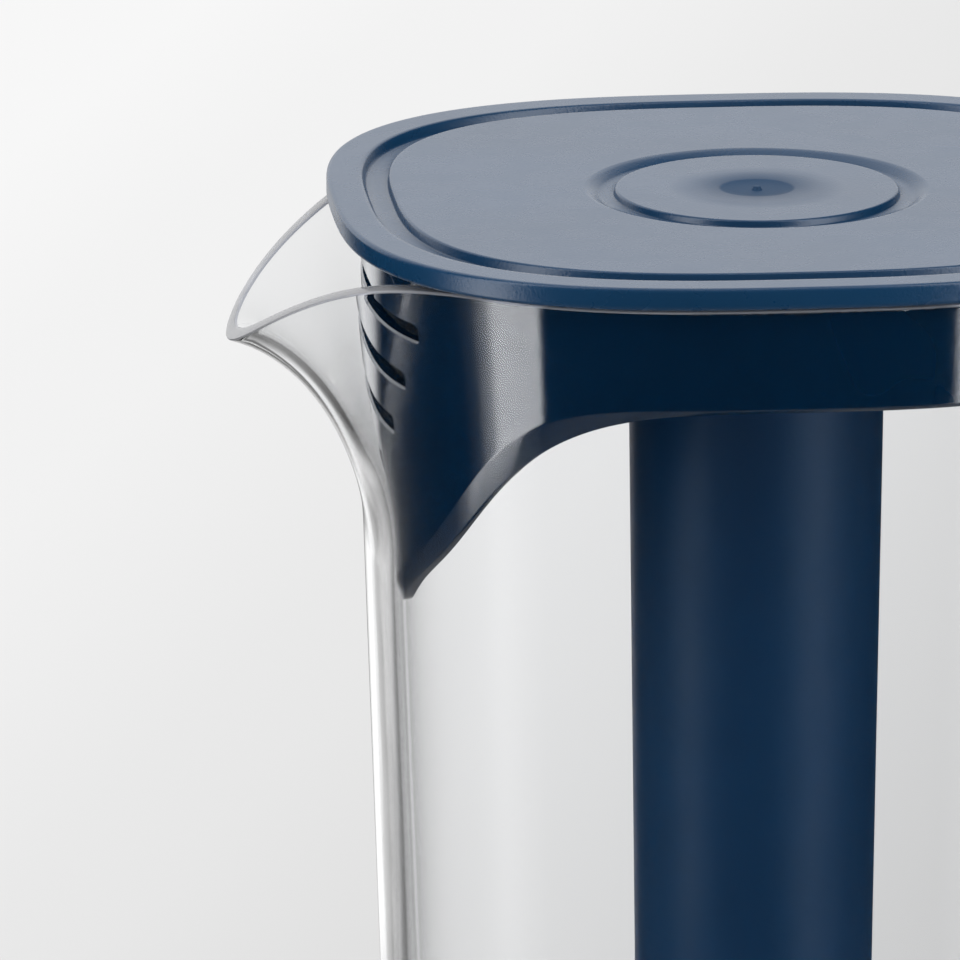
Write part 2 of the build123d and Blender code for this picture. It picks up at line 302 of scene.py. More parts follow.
def rim_height(angle, radius_at):
    """Height where a wall meets the rim, found by halving the span 44 times."""
    low = np.full_like(angle, JUG_HEIGHT - LIP_ARC_RADIUS)
    high = np.full_like(angle, JUG_HEIGHT + 0.002)
    for _ in range(44):
        middle = (low + high) / 2
        above = middle > JUG_HEIGHT - lip_dip(radius_at(angle, middle) * np.cos(angle))
        high = np.where(above, middle, high)
        low = np.where(above, low, middle)
    return (low + high) / 2


def place_ring(angle, radius, z):
    """Points at a radius and height; angle zero is towards -X and a quarter turn towards -Y."""
    z = np.broadcast_to(z, radius.shape)
    return np.stack([-radius * np.cos(angle), -radius * np.sin(angle), z], axis=-1)


def wall_rings(angle, radius_at, foot_z, lift, rim_z):
    """Rings up one wall: even steps to the spout's foot, then even turns of its ellipse."""
    reach, foot, end, curl, bell = spout_shape(angle)
    start = JUG_HEIGHT - foot + lift
    even = np.linspace(0, 1, STRAIGHT_STEPS, endpoint=False)[:, None]
    turn = np.linspace(0, 1, SPOUT_STEPS)[:, None] * np.arcsin(curl)
    rise = np.sin(turn) / curl
    z = np.concatenate([foot_z + even * (start - foot_z), start + rise * (rim_z - start)])
    return place_ring(angle[None, :], radius_at(angle[None, :], z), z)


def foot_rings(angle, radius_at, floor_z, corner):
    """Rings of a quarter-round between a flat floor and the wall."""
    turn = np.linspace(0, np.pi / 2, FOOT_STEPS, endpoint=False)[:, None]
    z = floor_z + corner * (1 - np.cos(turn))
    radius = radius_at(angle[None, :], z) - corner * (1 - np.sin(turn))
    return place_ring(angle[None, :], radius, z)


def floor_rings(edge, shares):
    """Flat rings that shrink from an edge ring towards its middle."""
    middle = edge.mean(axis=0)
    return middle + (edge - middle)[None] * np.asarray(shares)[:, None, None]


def rounded_corner(before, corner, after, size, count):
    """A short quadratic curve instead of a sharp corner, ring by ring."""
    back = before - corner
    on = after - corner
    back = corner + size * back / np.linalg.norm(back, axis=-1, keepdims=True)
    on = corner + size * on / np.linalg.norm(on, axis=-1, keepdims=True)
    t = np.linspace(0, 1, count)[:, None, None]
    return (1 - t) ** 2 * back + 2 * t * (1 - t) * corner + t**2 * on


def add_piece(name, stacks, closed=False, sharp=None):
    """A mesh from stacks of rings of points: quads between neighbouring rings and round each ring.
    The first and last ring of a stack are each closed by a fan to their middle, or joined if the
    piece is closed. A stack that encloses less than nothing is turned inside out."""
    points, faces, before = [], [], 0
    for rings in stacks:
        count, around = rings.shape[:2]
        here = rings.reshape(-1, 3)
        ring = np.arange(count if closed else count - 1)[:, None]
        step = np.arange(around)[None, :]
        a = ring * around + step
        b = ring * around + (step + 1) % around
        c, d = (b + around) % (count * around), (a + around) % (count * around)
        quads = np.stack([a, b, c, d], axis=-1).reshape(-1, 4)
        p, q, r, s = (here[quads[:, i]] for i in range(4))
        volume = np.sum(np.cross(p - r, q - s) * (p + q + r + s))
        turn = 1 if volume > 0 else -1
        faces += (quads[:, ::turn] + before).tolist()
        if not closed:
            fan = np.stack([step[0], np.roll(step[0], -1)], axis=1)[:, ::-turn]
            low, high = count * around + before, count * around + before + 1
            here = np.concatenate([here, rings[:1].mean(axis=1), rings[-1:].mean(axis=1)])
            last = fan[:, ::-1] + (count - 1) * around
            faces += [[low, one, two] for one, two in (fan + before).tolist()]
            faces += [[high, one, two] for one, two in (last + before).tolist()]
        points.append(here)
        before += len(here)
    mesh = bpy.data.meshes.new(name)
    mesh.from_pydata(np.concatenate(points).tolist(), [], faces)
    mesh.validate()
    mesh.polygons.foreach_set("use_smooth", np.ones(len(mesh.polygons), bool))
    if sharp:
        mesh.set_sharp_from_angle(angle=math.radians(sharp))
    piece = bpy.data.objects.new(name, mesh)
    bpy.context.scene.collection.objects.link(piece)
    return piece


round_jug = np.linspace(0, 2 * np.pi, ROUND_THE_JUG, endpoint=False)
outer_rim = rim_height(round_jug, outer_radius)
inner_rim = rim_height(round_jug, inner_radius)
outside = np.concatenate(
    [
        foot_rings(round_jug, outer_radius, 0.0, BASE_ROUND),
        wall_rings(round_jug, outer_radius, BASE_ROUND, 0.0, outer_rim),
    ]
)
inner_corner = BASE_ROUND - JUG_WALL
inside = np.concatenate(
    [
        foot_rings(round_jug, inner_radius, FLOOR_THICKNESS, inner_corner),
        wall_rings(round_jug, inner_radius, FLOOR_THICKNESS + inner_corner, LIP_WALL, inner_rim),
    ]
)
rim_outer = rounded_corner(outside[-2], outside[-1], inside[-1], RIM_ROUND, 5)
rim_inner = rounded_corner(outside[-1], inside[-1], inside[-2], RIM_ROUND, 5)
jug_rings = np.concatenate(
    [
        floor_rings(outside[0], FLAT_RINGS),
        outside[:-1],
        rim_outer,
        rim_inner,
        inside[-2::-1],
        floor_rings(inside[0], FLAT_RINGS[::-1]),
    ]
)
jug = add_piece("clear_jug", [jug_rings])


def clear_plastic(name, colour, clearness):
    """Clear hard plastic with a faint cool tint in its depth, and a wall that is very slightly
    uneven from the mould, as a broad low bump. It bends light less than the real plastic, so that
    the edges of the walls look as thin as in the photograph."""
    material = bpy.data.materials.new(name)
    material.use_nodes = True
    add = new_tree(material.node_tree)
    place = add("ShaderNodeTexCoord").outputs["Object"]
    wave = add("ShaderNodeTexNoise", [("Vector", place)], Scale=38.0, Detail=1.0)
    bump = add("ShaderNodeBump", [("Height", wave.outputs["Fac"])], Strength=0.02, Distance=0.002)
    haze = add("ShaderNodeTexNoise", [("Vector", place)], Scale=14.0, Detail=3.0)
    rough = add("ShaderNodeMapRange", [(0, haze.outputs["Fac"])], To_Min=0.0, To_Max=0.035)
    shader = add(
        "ShaderNodeBsdfPrincipled",
        [("Normal", bump.outputs[0]), ("Roughness", rough.outputs[0])],
        Base_Color=(*colour, 1.0),
        IOR=CLEAR_IOR,
        Specular_Tint=(0.03, 0.03, 0.03, 1.0),
        Transmission_Weight=clearness,
    )
    depth = add("ShaderNodeVolumeAbsorption", Color=(0.80, 0.83, 0.90, 1.0), Density=3.0)
    add("ShaderNodeOutputMaterial", [(0, shader.outputs[0]), (1, depth.outputs[0])])
    return material


# The rim's faces take a greyer, less clear plastic whose pale diffuse part is painted light: a
# painted glow that stands in for the light caught in the wall and carried up to the rim.
clear = clear_plastic("clear hard plastic", (0.985, 0.988, 0.992), 1.0)
rim_painted_glow = clear_plastic("clear rim with painted glow", (0.80, 0.81, 0.85), 0.65)
jug.data.materials.append(clear)
jug.data.materials.append(rim_painted_glow)
rim_start = len(FLAT_RINGS) + len(outside) - 1
rim_end = rim_start + len(rim_outer) + len(rim_inner) - 1
faces_of = np.zeros(len(jug.data.polygons), np.int32)
faces_of[rim_start * ROUND_THE_JUG : rim_end * ROUND_THE_JUG] = 1
jug.data.polygons.foreach_set("material_index", faces_of)
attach(jug, "jug")
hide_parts("jug_body")


# Handle: a separate clear moulding with two flanges on a thin web, bonded to the back wall by
# two foot plates.
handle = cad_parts["handle"]
handle.data.materials.clear()
handle.data.materials.append(clear)


# Lid cover: a matt dark blue plate that overhangs the rim, with a groove inside its edge, a
# raised disc in a shallow moat, and the round mark of the moulding gate in its middle.
SEAT_GAP = 0.0003
LID_THICKNESS = 0.0033
LID_UNDER = JUG_HEIGHT + SEAT_GAP
LID_TOP = LID_UNDER + LID_THICKNESS
LID_HALF_X = 0.062
LID_HALF_Y = 0.06098
LID_POWER = 2.81
DISC_RADIUS = 0.0207
MOAT_WIDTH = 0.0043
MOAT_DEPTH = 0.0011
GATE_RADIUS = 0.0052
GATE_DEPTH = 0.00035
GATE_SLOPE = 0.0018
GATE_LIP = 0.0001
PIP_RADIUS = 0.0008
PIP_CROWN = (0.0005, 0.0002)
PIP_TIP = (0.0002, 0.00025)
GROOVE_OUT = 0.0055
GROOVE_IN = 0.0090
GROOVE_DEPTH = 0.0015
TOP_ROUND = 0.0006
UNDER_ROUND = 0.0008
COLLAR_RADIUS = 0.0209
COLLAR_WALL = 0.0024
COLLAR_HEIGHT = 0.0134
EDGE = 0.00025
THREAD_HEIGHT = 0.0020
THREAD_LEAD = 0.015
THREAD_STARTS = 3
THREAD_ZERO = LID_UNDER - 0.009667
THREAD_GAP = 0.0003
THREAD_ROUND = 0.0003
LEDGE_SPAN = 70.0
LEDGE_RADIUS = 0.0193
ROUND_THE_LID = 360
BLUSH_SCALE = 20.0
GATE_BLUSH = [(0.0, 0.45), (0.0052, 0.45), (0.0056, 0.22), (0.0085, 0.12), (0.0130, 0.0)]
round_lid = np.linspace(0, 2 * np.pi, ROUND_THE_LID, endpoint=False)


def circle_ring(radius, z):
    """A round ring of the lid."""
    return place_ring(round_lid, np.full(ROUND_THE_LID, radius), z)


def lid_ring(inset, z):
    """A ring of the lid's rounded square, drawn in by an inset."""
    outline = squircle(round_lid, LID_HALF_X - inset, LID_HALF_Y - inset, LID_POWER)
    return place_ring(round_lid, outline, z)


def quarter(inset, z, size, start, count=7):
    """Rings of a quarter-round at the lid's edge, from one angle over a quarter turn."""
    turn = np.radians(start) - np.linspace(0, np.pi / 2, count)
    return [lid_ring(inset - size * math.cos(t), z + size * math.sin(t)) for t in turn]


def thread_block(radius_in, radius_out, z_zero, start, span, turned):
    """A block that climbs round the axis with the thread's lead from a start angle over a span,
    turned to its place; its section is a rounded rectangle whose corners are quarter turns."""
    turn = np.linspace(0, 2 * np.pi, 24, endpoint=False) + np.pi / 24
    half = np.array([(radius_out - radius_in) / 2, THREAD_HEIGHT / 2])
    round_it = np.stack([np.cos(turn), np.sin(turn)], axis=1)
    section = np.sign(round_it) * (half - THREAD_ROUND) + THREAD_ROUND * round_it
    degrees = np.linspace(start, start + span, 25)[:, None]
    radius = (radius_in + radius_out) / 2 + section[None, :, 0]
    z = z_zero + THREAD_HEIGHT / 2 + THREAD_LEAD * degrees / 360 + section[None, :, 1]
    radius, z = np.broadcast_arrays(radius, z)
    return place_ring(np.radians(degrees + turned) + np.pi, radius, z)


lid_rings = [
    circle_ring(PIP_TIP[0], LID_TOP + PIP_TIP[1]),
    circle_ring(PIP_CROWN[0], LID_TOP + PIP_CROWN[1]),
    circle_ring(PIP_RADIUS, LID_TOP - GATE_DEPTH),
    circle_ring(PIP_RADIUS + EDGE, LID_TOP - GATE_DEPTH),
    circle_ring(GATE_RADIUS - GATE_SLOPE, LID_TOP - GATE_DEPTH),
    circle_ring(GATE_RADIUS, LID_TOP - GATE_LIP),
    circle_ring(GATE_RADIUS + EDGE, LID_TOP),
    circle_ring(DISC_RADIUS / 2, LID_TOP),
    circle_ring(DISC_RADIUS - 2 * EDGE, LID_TOP),
    circle_ring(DISC_RADIUS - EDGE, LID_TOP),
    circle_ring(DISC_RADIUS, LID_TOP - EDGE),
    circle_ring(DISC_RADIUS, LID_TOP - MOAT_DEPTH + EDGE),
    circle_ring(DISC_RADIUS + EDGE, LID_TOP - MOAT_DEPTH),
    circle_ring(DISC_RADIUS + MOAT_WIDTH * 0.50, LID_TOP - MOAT_DEPTH),
    circle_ring(DISC_RADIUS + MOAT_WIDTH * 0.60, LID_TOP - MOAT_DEPTH + EDGE),
    circle_ring(DISC_RADIUS + MOAT_WIDTH * 0.84, LID_TOP - EDGE),
    circle_ring(DISC_RADIUS + MOAT_WIDTH, LID_TOP),
    circle_ring(DISC_RADIUS + MOAT_WIDTH + EDGE, LID_TOP),
]
moat_edge = circle_ring(DISC_RADIUS + MOAT_WIDTH, LID_TOP)
groove_edge = lid_ring(GROOVE_IN + EDGE, LID_TOP)
lid_rings += [moat_edge + share * (groove_edge - moat_edge) for share in (0.25, 0.5, 0.75)]
lid_rings += [
    lid_ring(GROOVE_IN + 2 * EDGE, LID_TOP),
    lid_ring(GROOVE_IN + EDGE, LID_TOP),
    lid_ring(GROOVE_IN, LID_TOP - EDGE),
    lid_ring(GROOVE_IN, LID_TOP - GROOVE_DEPTH + EDGE),
    lid_ring(GROOVE_IN - EDGE, LID_TOP - GROOVE_DEPTH),
    lid_ring(GROOVE_OUT + 2 * EDGE, LID_TOP - GROOVE_DEPTH),
    lid_ring(GROOVE_OUT + EDGE, LID_TOP - GROOVE_DEPTH + EDGE / 2),
    lid_ring(GROOVE_OUT, LID_TOP - GROOVE_DEPTH + 2 * EDGE),
    lid_ring(GROOVE_OUT - EDGE, LID_TOP - EDGE),
    lid_ring(GROOVE_OUT - 2 * EDGE, LID_TOP),
    lid_ring(GROOVE_OUT - 4 * EDGE, LID_TOP),
    lid_ring(TOP_ROUND + EDGE, LID_TOP),
]
lid_rings += quarter(TOP_ROUND, LID_TOP - TOP_ROUND, TOP_ROUND, 90)
lid_rings += quarter(UNDER_ROUND, LID_UNDER + UNDER_ROUND, UNDER_ROUND, 0)
lid_rings += [
    lid_ring(UNDER_ROUND + EDGE, LID_UNDER),
    lid_ring(GROOVE_IN, LID_UNDER),
    circle_ring(COLLAR_RADIUS + COLLAR_WALL, LID_UNDER),
    circle_ring(COLLAR_RADIUS + COLLAR_WALL, LID_UNDER - COLLAR_HEIGHT + EDGE),
    circle_ring(COLLAR_RADIUS + COLLAR_WALL - EDGE, LID_UNDER - COLLAR_HEIGHT),
    circle_ring(COLLAR_RADIUS + EDGE, LID_UNDER - COLLAR_HEIGHT),
    circle_ring(COLLAR_RADIUS, LID_UNDER - COLLAR_HEIGHT + EDGE),
    circle_ring(COLLAR_RADIUS, LID_UNDER),
    circle_ring(COLLAR_RADIUS / 2, LID_UNDER),
]
ledges = [
    thread_block(
        LEDGE_RADIUS,
        COLLAR_RADIUS + COLLAR_WALL / 4,
        THREAD_ZERO - THREAD_GAP - THREAD_HEIGHT,
        0.0,
        LEDGE_SPAN,
        360 / THREAD_STARTS * i,
    )
    for i in range(THREAD_STARTS)
]
cover = add_piece("lid_plate", [np.stack(lid_rings), *ledges], sharp=50)


def blue_plastic(name, colour, roughness, grain, grain_height, ior=1.5, specular=0.5, blush=()):
    """Dyed plastic: the colour drifts a little with a broad noise, the roughness between its two
    ends with a middle one, and a fine noise gives the grain of the mould as a bump. Round a
    moulding gate at the axis the melt leaves a duller blush: stops of (distance, added roughness)
    up to a distance of one over the blush's scale."""
    low, high = roughness
    material = bpy.data.materials.new(name)
    material.use_nodes = True
    add = new_tree(material.node_tree)
    place = add("ShaderNodeTexCoord").outputs["Object"]
    drift = add("ShaderNodeTexNoise", [("Vector", place)], Scale=30.0, Detail=2.0)
    tone = add("ShaderNodeValToRGB", [(0, drift.outputs["Fac"])])
    tone.color_ramp.elements[0].color = (*[0.85 * c for c in colour], 1.0)
    tone.color_ramp.elements[1].color = (*[1.15 * c for c in colour], 1.0)
    patch = add("ShaderNodeTexNoise", [("Vector", place)], Scale=160.0, Detail=3.0)
    rough = add("ShaderNodeMapRange", [(0, patch.outputs["Fac"])], To_Min=low, To_Max=high)
    rough = rough.outputs[0]
    if blush:
        flat_place = add("ShaderNodeVectorMath", [(0, place)], operation="MULTIPLY")
        flat_place.inputs[1].default_value = (BLUSH_SCALE, BLUSH_SCALE, 0.0)
        radius = add("ShaderNodeVectorMath", [(0, flat_place.outputs[0])], operation="LENGTH")
        stops = [(BLUSH_SCALE * at, level) for at, level in blush]
        rough = maths(add, "ADD", rough, ramp_of(add, radius.outputs["Value"], stops))
    fine = add("ShaderNodeTexNoise", [("Vector", place)], Scale=grain, Detail=2.0)
    bump = add(
        "ShaderNodeBump", [("Height", fine.outputs["Fac"])], Strength=1.0, Distance=grain_height
    )
    shader = add(
        "ShaderNodeBsdfPrincipled",
        [
            ("Base Color", tone.outputs[0]),
            ("Roughness", rough),
            ("Normal", bump.outputs[0]),
        ],
        IOR=ior,
        Specular_IOR_Level=specular,
    )
    add("ShaderNodeOutputMaterial", [(0, shader.outputs[0])])
    return material


lid_blue = blue_plastic(
    "matt blue plastic",
    colour=(0.0012, 0.038, 0.102),
    roughness=(0.25, 0.30),
    grain=2600.0,
    grain_height=0.00003,
    blush=GATE_BLUSH,
)
cover.data.materials.append(lid_blue)
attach(cover, "lid")
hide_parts("lid_cover")


# Strainer skirt: a glossy dark blue ring that fills the jug's mouth, welded under the cover by its
# top flange. A long tongue hangs across the spout, and liquid is poured through its four slots.
SKIRT_GAP = 0.0004
SKIRT_WALL = 0.0020
SKIRT_BULGE = 0.0020
SKIRT_DEPTH = 0.0152
TONGUE_DROP = 0.0375
OUTER_BELLS = ((1.464, 38.43, 3.107), (-0.469, 31.782, 4.452))
CHAMFER_BELLS = ((0.0012, 0.0, 40.0), (0.0012, 18.0, 12.0), (0.00385, 47.0, 16.0))
TONGUE_EDGE_ANGLE = 90.0
FLANGE_WIDTH = 0.0070
FLANGE_THICKNESS = 0.0018
SLOT_HEIGHT = 0.0022
SLOT_CORNER = 0.0005
SLOT_PITCH = 0.0079
FIRST_SLOT_DROP = 0.0088
SLOT_HALF_LENGTHS = (0.0330, 0.0284, 0.0229, 0.0135)
SLOT_ROUND = 0.0003
CHAMFER_INSET = 0.0008
CHAMFER_DROP = 0.00065
EDGE_ROUND = 0.0002
EDGE_LEAD = 0.002
STRAIGHT_END = math.radians(55)
STRAIGHT_BLEND = math.radians(19)
FOOT_SHARE = 0.7
FLANGE_BLEND = 0.006
SLOT_WIDEST_ANGLE = 1.2
SLOT_STEP = 0.0007
MOUTH_CLEARANCE = 0.0006
NET_SCALE = (56.0, -1000.0)
SKIRT_COLUMNS = 360
SKIRT_ROWS = 18


def smooth_step(share):
    """Rises smoothly from 0 to 1: three squares less two cubes of a share held in 0 to 1."""
    share = np.clip(share, 0.0, 1.0)
    return share * share * (3 - 2 * share)


def tongue_edge(angle):
    """Depth of the skirt's outer edge under the rim: level, with a bell-shaped drop at the spout.
    Each bell is a share times e to the minus of the angle over its width, to a power."""
    off = np.abs(np.degrees(from_spout(angle)))
    drop = 0.0
    for share, width, power in OUTER_BELLS:
        left_over = np.exp(-((TONGUE_EDGE_ANGLE / width) ** power))
        drop = drop + share * (np.exp(-((off / width) ** power)) - left_over)
    return SKIRT_DEPTH + TONGUE_DROP * np.maximum(drop, 0.0)


def lower_edge_depth(angle):
    """Depth of the chamfer's lower edge: the outer edge, a step, and bells of e to the minus of
    the squared distance from their middle angle."""
    off = np.abs(np.degrees(from_spout(angle)))
    drop = sum(d * np.exp(-(((off - middle) / width) ** 2)) for d, middle, width in CHAMFER_BELLS)
    return tongue_edge(angle) + CHAMFER_DROP + drop


def skirt_point(angle, depth, inward=0.0):
    """A point of the skirt at an angle and a depth under the rim: the jug's inside drawn in by the
    gap, with a bulge into the spout's root that tends to its own limit, less a distance inward."""
    z = JUG_HEIGHT - depth
    flare = spout_flare(angle, z - LIP_WALL)
    bulge = flare * SKIRT_BULGE / (flare + SKIRT_BULGE)
    return place_ring(angle, body_radius(angle, z, JUG_WALL + SKIRT_GAP + inward) + bulge, z)


def inner_point(angle, depth):
    """The point of the inner skin behind a point of the outer one. It is turned so that the slots
    run straight along X, lowered towards the edge, and at the top kept under the flange."""
    off = from_spout(angle)
    straight = smooth_step((STRAIGHT_END - np.abs(off)) / STRAIGHT_BLEND)
    turned = angle + straight * SKIRT_WALL / RIM_HALF_X * np.tan(np.clip(off, -1.0, 1.0))
    outer_edge = tongue_edge(angle)
    lower = lower_edge_depth(turned) - outer_edge
    share = smooth_step((depth / outer_edge - FOOT_SHARE) / (1 - FOOT_SHARE))
    under = FLANGE_THICKNESS * (1 - smooth_step((depth + SEAT_GAP) / FLANGE_BLEND))
    return skirt_point(turned, depth + lower * share + under, SKIRT_WALL)


def slot_outline(drop, half_length, grow):
    """A slot's outline in angle and depth: a bar with small rounded corners, grown on every side.
    Its sideways distance is turned into an angle by halving the span 40 times."""
    radius = SLOT_CORNER + grow
    reach, half_height = half_length - SLOT_CORNER, SLOT_HEIGHT / 2 - SLOT_CORNER
    turn = np.linspace(0, np.pi / 2, 6)
    straight = np.linspace(-reach, reach, max(int(reach / SLOT_STEP), 8))[1:-1]
    edge = half_height + radius
    end = [reach + radius * np.sin(turn), reach + radius * np.cos(turn)]
    rise = [half_height + radius * np.cos(turn), half_height + radius * np.sin(turn)]
    across = np.concatenate([*end, straight[::-1], -end[0], -end[1], straight])
    depth = drop + np.concatenate(
        [-rise[0], rise[1], straight * 0 + edge, rise[0], -rise[1], straight * 0 - edge]
    )
    low = np.full_like(across, -SLOT_WIDEST_ANGLE)
    high = np.full_like(across, SLOT_WIDEST_ANGLE)
    for _ in range(40):
        middle = (low + high) / 2
        past = -skirt_point(middle, depth)[:, 1] > across
        high = np.where(past, middle, high)
        low = np.where(past, low, middle)
    return np.stack([(low + high) / 2, depth], axis=1)


def skirt_normals(surface, flat):
    """Outward normals of a skin: the cross product of its steps in angle and in height."""
    step = 1e-5
    round_it = surface(flat[:, 0] + step, flat[:, 1]) - surface(flat[:, 0] - step, flat[:, 1])
    upward = surface(flat[:, 0], flat[:, 1] - step) - surface(flat[:, 0], flat[:, 1] + step)
    normal = np.cross(round_it, upward)
    return normal / np.linalg.norm(normal, axis=1, keepdims=True)


# The skins are one flat net of triangles in angle and depth, bent onto the outer and inner wall.
columns = np.linspace(-np.pi, np.pi, SKIRT_COLUMNS + 1)
edge_outer = tongue_edge(columns)
edge_depth = edge_outer - EDGE_ROUND
rows = np.linspace(0, 1, SKIRT_ROWS)[:, None]
net_depth = -SEAT_GAP + rows * (edge_depth + SEAT_GAP)[None, :]
net = np.stack([np.broadcast_to(columns, net_depth.shape), net_depth], axis=-1)
drops = [FIRST_SLOT_DROP + SLOT_PITCH * i for i in range(len(SLOT_HALF_LENGTHS))]
mouths = [slot_outline(d, h, SLOT_ROUND) for d, h in zip(drops, SLOT_HALF_LENGTHS)]
throats = [slot_outline(d, h, 0.0) for d, h in zip(drops, SLOT_HALF_LENGTHS)]
inner_net = net[1:-1].reshape(-1, 2)
clear_of_slots = np.ones(len(inner_net), bool)
for mouth in mouths:
    apart = (inner_net[:, None] - mouth[None]) * (RIM_HALF_X, 1.0)
    clear_of_slots &= np.linalg.norm(apart, axis=2).min(axis=1) > MOUTH_CLEARANCE
    middle = mouth.mean(axis=0)
    within = np.abs(inner_net - middle) < np.abs(mouth - middle).max(axis=0)
    clear_of_slots &= ~within.all(axis=1)
flat = np.concatenate([net[0], net[-1], inner_net[clear_of_slots], *mouths])
wide = SKIRT_COLUMNS + 1
bonds = [[i, i + 1] for i in range(SKIRT_COLUMNS)]
bonds += [[wide + i, wide + i + 1] for i in range(SKIRT_COLUMNS)]
mouth_starts = []
start = 2 * wide + int(clear_of_slots.sum())
for mouth in mouths:
    mouth_starts.append(start)
    bonds += [[start + i, start + (i + 1) % len(mouth)] for i in range(len(mouth))]
    start += len(mouth)
net_points = [Vector(point) for point in (flat * NET_SCALE).tolist()]
found = delaunay_2d_cdt(net_points, bonds, [], 0, 1e-7)
assert len(found[0]) == len(flat)
triangles = np.array(found[2])
centre = flat[triangles].mean(axis=1)
triangles = triangles[centre[:, 1] < np.interp(centre[:, 0], columns, edge_depth)]
for start, mouth in zip(mouth_starts, mouths):
    in_mouth = (triangles >= start) & (triangles < start + len(mouth))
    triangles = triangles[~in_mouth.all(axis=1)]

# A steep chamfer runs along the lower edge. It, the flange and the slot walls join the two skins
# to one closed wall.
outer_skin = skirt_point(flat[:, 0], flat[:, 1])
inner_skin = inner_point(flat[:, 0], flat[:, 1])
above_outer = skirt_point(columns, edge_outer - EDGE_LEAD)
corner_outer = skirt_point(columns, edge_outer)
edge_lower = lower_edge_depth(columns)
corner_lower = skirt_point(columns, edge_lower, CHAMFER_INSET)
corner_inner = inner_point(columns, edge_outer)
above_inner = inner_point(columns, edge_outer - EDGE_LEAD)
lower_edge = np.concatenate(
    [
        rounded_corner(above_outer, corner_outer, corner_lower, EDGE_ROUND, 4),
        rounded_corner(corner_outer, corner_lower, corner_inner, EDGE_ROUND, 5),
        rounded_corner(corner_lower, corner_inner, above_inner, EDGE_ROUND, 4),
    ]
)
outer_skin[wide : 2 * wide] = lower_edge[0]
inner_skin[wide : 2 * wide] = lower_edge[-1]
flange_top = skirt_point(columns, np.full(wide, -SEAT_GAP), SKIRT_WALL + FLANGE_WIDTH)
flange_low = flange_top - (0.0, 0.0, FLANGE_THICKNESS)
skin = len(flat)
throat_rings = [skirt_point(t[:, 0], t[:, 1], SLOT_ROUND) for t in throats]
points = np.concatenate(
    [outer_skin, inner_skin, *lower_edge[1:-1], flange_top, flange_low, *throat_rings]
)
faces = [triangles, triangles[:, ::-1] + skin]
edge_rows = [np.arange(wide) + wide]
edge_rows += [np.arange(wide) + 2 * skin + i * wide for i in range(len(lower_edge) - 2)]
edge_rows += [np.arange(wide) + wide + skin]
top_start = 2 * skin + (len(lower_edge) - 2) * wide
top_rows = [np.arange(wide), np.arange(wide) + top_start, np.arange(wide) + top_start + wide]
top_rows += [np.arange(wide) + skin]
quads = []
for row_set in (edge_rows, top_rows[::-1]):
    for one, two in zip(row_set[:-1], row_set[1:]):
        quads.append(np.stack([one[:-1], two[:-1], two[1:], one[1:]], axis=1))
throat_start = top_start + 2 * wide
for start, mouth in zip(mouth_starts, mouths):
    step = np.arange(len(mouth))
    loops = [start + step, throat_start + step, skin + start + step]
    throat_start += len(mouth)
    for one, two in zip(loops[:-1], loops[1:]):
        quads.append(np.stack([one, two, np.roll(two, -1), np.roll(one, -1)], axis=1))

# The two ends of the net lie on each other behind the handle, and become one line.
key = np.round(points, 7) + 0.0
first, same = np.unique(key, axis=0, return_index=True, return_inverse=True)[1:]
same = same.reshape(-1)
skirt_mesh = bpy.data.meshes.new("strainer")
skirt_mesh.from_pydata(
    points[first].tolist(), [], [face for group in faces + quads for face in same[group].tolist()]
)
shell = bmesh.new()
shell.from_mesh(skirt_mesh)
bmesh.ops.recalc_face_normals(shell, faces=shell.faces)
shell.to_mesh(skirt_mesh)
shell.free()
skirt_mesh.polygons.foreach_set("use_smooth", np.ones(len(skirt_mesh.polygons), bool))
skirt_mesh.set_sharp_from_angle(angle=math.radians(40))

# Both skins come first in the mesh, as triangles, and take the normals of the surfaces that they
# lie on. The edges, slots and flange keep the normals that their own faces give.
skin_normals = np.zeros((len(points), 3))
skin_normals[:skin] = skirt_normals(skirt_point, flat)
skin_normals[skin : 2 * skin] = -skirt_normals(inner_point, flat)
corner_points = np.empty(len(skirt_mesh.loops), int)
skirt_mesh.loops.foreach_get("vertex_index", corner_points)
corner_normals = skin_normals[first][corner_points]
corner_normals[6 * len(triangles) :] = 0.0
skirt_mesh.normals_split_custom_set(corner_normals.tolist())
skirt = bpy.data.objects.new("strainer", skirt_mesh)
bpy.context.scene.collection.objects.link(skirt)
skirt_blue = blue_plastic(
    "glossy blue plastic",
    colour=(0.0006, 0.022, 0.062),
    roughness=(0.06, 0.10),
    grain=500.0,
    grain_height=0.000002,
    ior=1.8,
)
skirt_mesh.materials.append(skirt_blue)
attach(skirt, "lid")
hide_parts("strainer_skirt")


# Core tube: a satin dark blue tapered tube with a closed bottom, which holds ice or water. Three
# thread lugs near its open top hold it in the lid's collar.
CORE_TOP_RADIUS = 0.0189
CORE_TAPER = math.tan(math.radians(0.75))
CORE_WALL = 0.0022
CORE_BOTTOM = 0.018
CORE_ROUND = 0.008
CORE_STRAIGHT = 0.04
MOUTH_ROUND = 0.0004
ROUND_THE_CORE = 240
SEAL_THICKNESS = 0.0020
LUG_WIDTH = 0.0016
LUG_SPAN = 40.0
LUG_START = 20.0
core_top = LID_UNDER - SEAL_THICKNESS


def revolved(profile):
    """Rings of a profile of (radius, height) points, turned round the pitcher's axis."""
    angle = np.linspace(0, 2 * np.pi, ROUND_THE_CORE, endpoint=False)
    return np.stack([place_ring(angle, np.full(ROUND_THE_CORE, r), z) for r, z in profile])


def quarter_arc(radius, z, size, start, end, count=9):
    """Points of an arc about a centre, from one angle above the level to another."""
    turn = np.radians(np.linspace(start, end, count))
    return [(radius + size * math.cos(t), z + size * math.sin(t)) for t in turn]


def core_radius(z):
    """Outer radius of the tube, which narrows evenly towards the bottom."""
    return CORE_TOP_RADIUS - (core_top - z) * CORE_TAPER


